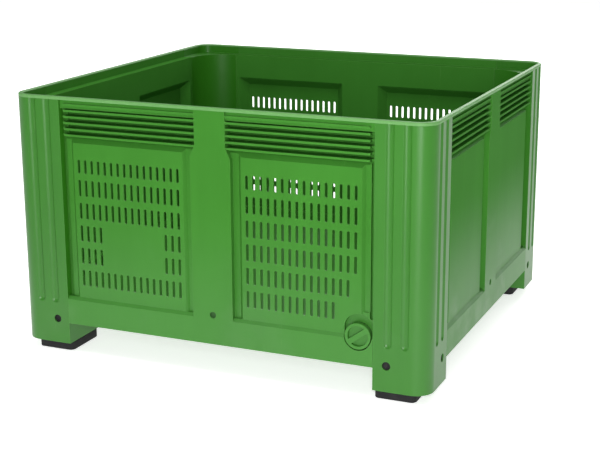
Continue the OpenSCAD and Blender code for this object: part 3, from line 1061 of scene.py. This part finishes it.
@dataclass
class PinSet:
    """Round pins with a dished head, all alike.

    Attributes:
        name: The piece's name.
        node: The CAD node that it stands for.
        finish: Their finish.
        slot: The record's slot of the finish.
        radius: A head's radius.
        head_l: A head's length.
        shank_r: A shank's radius.
        shank_l: A shank's length.
        heads: Middles of the heads' faces, and the directions that they look.
        lip: Width of a head's rim, as a share of its radius.
        dish: Depth of the dish inside the rim, likewise.
        shelf: Width of the dish's shelf, likewise.
        well: Depth of the well inside the shelf, likewise.
        edge: Width of the rounded edges, likewise.
        sides: Faces round a pin.
    """

    name: str
    node: str
    finish: MattPlastic
    slot: Slot
    radius: float
    head_l: float
    shank_r: float
    shank_l: float
    heads: Sequence[tuple[Vector, Vector]]
    lip: float = 0.22
    dish: float = 0.16
    shelf: float = 0.3
    well: float = 0.1
    edge: float = 0.07
    sides: int = 32

    def pin(self, head: Vector, facing: Vector) -> bpy.types.Object:
        """Models one pin.

        Args:
            head: Middle of the head's face.
            facing: The way that the head looks.

        Returns:
            The pin.
        """
        bench = Bench(
            self.name, bpy.ops.mesh.primitive_cylinder_add, vertices=self.sides, radius=self.radius,
            depth=self.head_l, location=(0.0, 0.0, -self.head_l / 2),
        )
        bench.pick(Part.FACE, lambda _, normal: normal.z > FACING)
        for inset, depth in ((self.lip, self.dish), (self.shelf, self.well)):
            bpy.ops.mesh.inset(thickness=inset * self.radius)
            bench.lift(-depth * self.radius)
        bench.pick(Part.FACE, lambda _, normal: normal.z < -FACING)
        bpy.ops.mesh.inset(thickness=self.radius - self.shank_r)
        bench.lift(-self.shank_l)
        bench.soften(self.edge * self.radius, segments=2)
        turn = facing.to_track_quat("Z", "Y").to_matrix().to_4x4()
        return bench.finish(Matrix.Translation(head) @ turn)

    def build(self) -> None:
        """Models the whole set as one piece."""
        piece = join([self.pin(*head) for head in self.heads], self.name)
        hand_over(piece, self.finish.material(), Body.BIN, self.node)


@dataclass
class DrainPlug:
    """Screw plug with a rounded ring, a grip bar between two hollows and a wound thread.

    Attributes:
        finish: Its finish.
        centre: Middle of its head's front.
        radius: Radius of the head.
        head_h: Height of the head.
        ring_w: Width of the ring.
        hollow_h: Depth of the hollows.
        bar_w: Width of the grip bar.
        bar_turn: Turn of the bar from level, in degrees.
        edge: Width of the rounded edges.
        thread_r: Radius of the thread's middle line.
        crest_r: Radius over the thread.
        thread_l: Length of the threaded stretch behind the head.
        pitch: Distance between turns of the thread.
        ridge_r: Half the height of the thread's ridge along the axis.
        sides: Faces round the head.
        turn_steps: Steps in one turn of the thread.
    """

    finish: MouldedPlastic
    centre: Vector = Vector((409 * MM, -565 * MM, 164 * MM))
    radius: float = 35 * MM
    head_h: float = 13 * MM
    ring_w: float = 8 * MM
    hollow_h: float = 10 * MM
    bar_w: float = 14 * MM
    bar_turn: float = 37.0
    edge: float = 1.5 * MM
    thread_r: float = 18.2 * MM
    crest_r: float = 19.6 * MM
    thread_l: float = 18 * MM
    pitch: float = 5 * MM
    ridge_r: float = 1.7 * MM
    sides: int = 64
    turn_steps: int = 40

    def is_inner(self, at: Vector, normal: Vector) -> bool:
        """Whether a face of the head's front lies inside the ring.

        Args:
            at: The face's centre.
            normal: Its normal.

        Returns:
            True where it does.
        """
        return normal.z > FACING and at.xy.length < self.radius - self.ring_w

    def head(self) -> bpy.types.Object:
        """Models the head, front up.

        Returns:
            The head, with its front at the origin.
        """
        bench = Bench(
            "plug_head", bpy.ops.mesh.primitive_cylinder_add, vertices=self.sides, radius=self.radius,
            depth=self.head_h, location=(0.0, 0.0, -self.head_h / 2),
        )
        bench.pick(Part.FACE, lambda _, normal: normal.z > FACING)
        bpy.ops.mesh.inset(thickness=self.ring_w)
        for side in (-1.0, 1.0):
            bench.pick(Part.FACE, self.is_inner)
            bpy.ops.mesh.bisect(
                plane_co=(0.0, side * self.bar_w / 2, 0.0), plane_no=(0.0, 1.0, 0.0), use_fill=False
            )
        bench.pick(
            Part.FACE, lambda at, normal: self.is_inner(at, normal) and abs(at.y) > self.bar_w / 2
        )
        bench.lift(-self.hollow_h)
        bench.soften(self.edge)
        return bench.finish()

    def thread(self) -> bpy.types.Object:
        """Models the thread as a ridge that winds round the plug's axis.

        Returns:
            The ridge, on the same axis as the head.
        """
        start = self.pitch / 2 - self.head_h - self.thread_l
        bench = Bench(
            "plug_thread", bpy.ops.mesh.primitive_circle_add, vertices=4, radius=self.ridge_r,
            fill_type="NOTHING", location=(self.thread_r, 0.0, start),
            rotation=(math.radians(90.0), 0.0, 0.0),
        )
        bpy.ops.transform.resize(value=((self.crest_r - self.thread_r) / self.ridge_r, 1.0, 1.0))
        bench.settle()
        bench.modify(
            "SCREW", screw_offset=self.pitch, iterations=math.floor(self.thread_l / self.pitch),
            steps=self.turn_steps, render_steps=self.turn_steps, use_merge_vertices=True,
        )
        bench.rims()
        bpy.ops.mesh.edge_face_add()
        return bench.finish()

    def build(self) -> None:
        """Models the plug."""
        upright = Matrix.Rotation(math.radians(90.0), 4, "X")
        turn = upright @ Matrix.Rotation(math.radians(self.bar_turn), 4, "Z")
        piece = join([self.head(), self.thread()], "drain_cap")
        piece.data.transform(Matrix.Translation(self.centre) @ turn)
        hand_over(piece, self.finish.material(), Body.PLUG, "drain_plug")


@dataclass
class PhotoCamera:
    """The camera at the photograph's place.

    Attributes:
        place: Its place.
        yaw: Turn to the left of +Y, in degrees.
        pitch: Tilt down, in degrees.
        roll: Roll, in degrees.
        focal: Focal length in pixels.
        image: Width of the image in pixels.
        sensor: Width of the sensor in millimetres.
    """

    place: Vector = Vector((1.551, -3.597, 1.323))
    yaw: float = 23.19
    pitch: float = 14.97
    roll: float = -0.22
    focal: float = 1351.0
    image: float = 600.0
    sensor: float = 36.0

    def build(self) -> None:
        """Adds the camera to the scene."""
        yaw, pitch, roll = (math.radians(a) for a in (self.yaw, self.pitch, self.roll))
        along = math.cos(pitch)
        ahead = Vector((-math.sin(yaw) * along, math.cos(yaw) * along, -math.sin(pitch)))
        level = Vector((math.cos(yaw), math.sin(yaw), 0.0))
        above = level.cross(ahead)
        right = math.cos(roll) * level + math.sin(roll) * above
        up = math.cos(roll) * above - math.sin(roll) * level
        turn = Matrix((right, up, -ahead)).transposed().to_4x4()
        lens = bpy.data.cameras.new("photo_camera")
        lens.sensor_fit = "HORIZONTAL"
        lens.sensor_width = self.sensor
        lens.lens = self.focal / self.image * self.sensor
        camera = bpy.data.objects.new("photo_camera", lens)
        camera.matrix_world = Matrix.Translation(self.place) @ turn
        bpy.context.scene.collection.objects.link(camera)
        bpy.context.scene.camera = camera
        log.info("photo_camera: at the photograph's place")


@dataclass(frozen=True)
class SoftLight:
    """A soft lamp that faces the bin.

    Attributes:
        name: Its name.
        place: Its place.
        power: Its power in watts.
        face: Shape of its face.
        width: Width of its face.
        height: Height of its face, where that is oblong.
        aim: The point that it faces.
    """

    name: str
    place: tuple[float, float, float]
    power: float
    face: LampFace
    width: float
    height: float = 0.0
    aim: tuple[float, float, float] = (0.0, 0.0, 0.4)

    def build(self) -> None:
        """Adds the lamp to the scene."""
        lamp = bpy.data.lights.new(self.name, "AREA")
        lamp.energy = self.power
        lamp.shape = self.face.value
        lamp.size = self.width
        if self.face is LampFace.OBLONG:
            lamp.size_y = self.height
        light = bpy.data.objects.new(self.name, lamp)
        light.location = self.place
        look = Vector(self.aim) - Vector(self.place)
        light.rotation_euler = look.to_track_quat("-Z", "Y").to_euler()
        bpy.context.scene.collection.objects.link(light)
        log.info("%s: %g W", self.name, self.power)


@dataclass
class Studio:
    """Pale floor and soft light.

    Attributes:
        floor: The floor's finish.
        reach: Half the floor's width.
        drop: How far the floor lies below the pads.
        sky: Colour of the surrounding light.
        sky_left: Its strength on the bin's left.
        sky_right: Its strength on the bin's right.
        lights: The lamps.
    """

    floor: StudioFloor
    reach: float = 120.0
    drop: float = 0.5 * MM
    sky: Colour = (0.97, 0.98, 1.0)
    sky_left: float = 0.72
    sky_right: float = 0.08
    lights: Sequence[SoftLight] = (
        SoftLight("key_light", (1.85, -4.4, 1.25), 148.0, LampFace.OBLONG, 0.8, 2.4),
        SoftLight("top_light", (0.1, -1.0, 3.5), 40.0, LampFace.ROUND, 1.6),
        SoftLight("backdrop_light", (0.5, 7.0, 3.9), 480.0, LampFace.ROUND, 6.0),
    )

    def build_floor(self) -> None:
        """Adds the floor."""
        bpy.ops.object.select_all(action="DESELECT")
        bpy.ops.mesh.primitive_plane_add(size=2 * self.reach, location=(0.0, 0.0, -self.drop))
        ground = bpy.context.object
        ground.name = "studio_floor"
        paint(ground, self.floor.material())
        log.info("studio_floor: in %s", self.floor.name)

    def build_sky(self) -> None:
        """Adds the surrounding light, which falls off from the bin's left to its right."""
        world = bpy.data.worlds.new("studio_sky")
        world.use_nodes = True
        graph = Graph(world.node_tree)
        across = graph.axis(graph.make("ShaderNodeTexCoord", {}, {}, "Generated"), "X")
        span = {"From Min": -1.0, "From Max": 1.0, "To Min": self.sky_left, "To Max": self.sky_right}
        strength = graph.make("ShaderNodeMapRange", {}, {"Value": across, **span})
        sky = world.node_tree.nodes["Background"]
        graph.feed(sky.inputs["Color"], self.sky)
        graph.feed(sky.inputs["Strength"], strength)
        bpy.context.scene.world = world

    def build(self) -> None:
        """Adds the floor, the surrounding light and the lamps."""
        self.build_floor()
        self.build_sky()
        for light in self.lights:
            light.build()
        view = bpy.context.scene.view_settings
        view.view_transform = "Standard"
        view.look = "None"


def leg_pin_heads(inset: float = 113 * MM) -> list[tuple[Vector, Vector]]:
    """Places of the pins in the legs' outer faces.

    Args:
        inset: Distance of a pin from the bin's corner.

    Returns:
        Middles of the heads' faces, with the directions that they look.
    """
    low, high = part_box("leg_pins")
    height = (low.z + high.z) / 2
    heads = []
    for side in (-1.0, 1.0):
        for end in (-1.0, 1.0):
            x, y = side * (BIN_W / 2 - inset), end * (BIN_D / 2 - inset)
            heads.append((Vector((x, end * high.y, height)), Vector((0.0, end, 0.0))))
            heads.append((Vector((side * high.x, y, height)), Vector((side, 0.0, 0.0))))
    return heads


def wall_pin_heads() -> list[tuple[Vector, Vector]]:
    """Places of the pins at the pillars' feet.

    Returns:
        Middles of the heads' faces, with the directions that they look.
    """
    low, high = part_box("wall_pins")
    height = (low.z + high.z) / 2
    heads = []
    for sign in (-1.0, 1.0):
        heads.append((Vector((0.0, sign * high.y, height)), Vector((0.0, sign, 0.0))))
        heads.append((Vector((sign * high.x, 0.0, height)), Vector((sign, 0.0, 0.0))))
    return heads


def main() -> None:
    """Builds the scene."""
    logging.basicConfig(level=logging.INFO, format="%(name)s: %(message)s")
    PhotoCamera().build()
    CornerPosts(POST_GREEN_PAINTED_SHADE).dress()
    Walls(GREEN).dress()
    Underframe(GREEN).dress()
    DrainFittings(GREEN).dress()
    TopRim(RIM_GREEN_PAINTED_HIGHLIGHT).build()
    FootPads(RUBBER).build()
    PinSet(
        "leg_pin_set", "leg_pins", BLACK, Slot.LEG_PIN, radius=11 * MM, head_l=6 * MM,
        shank_r=5 * MM, shank_l=15.3 * MM, heads=leg_pin_heads(),
    ).build()
    PinSet(
        "wall_pin_set", "wall_pins", DARK_GREEN, Slot.WALL_PIN, radius=9 * MM, head_l=4 * MM,
        shank_r=8.8 * MM, shank_l=20 * MM, heads=wall_pin_heads(),
    ).build()
    DrainPlug(GREEN).build()
    Studio(PALE_FLOOR).build()


if __name__ == "__main__":
    main()
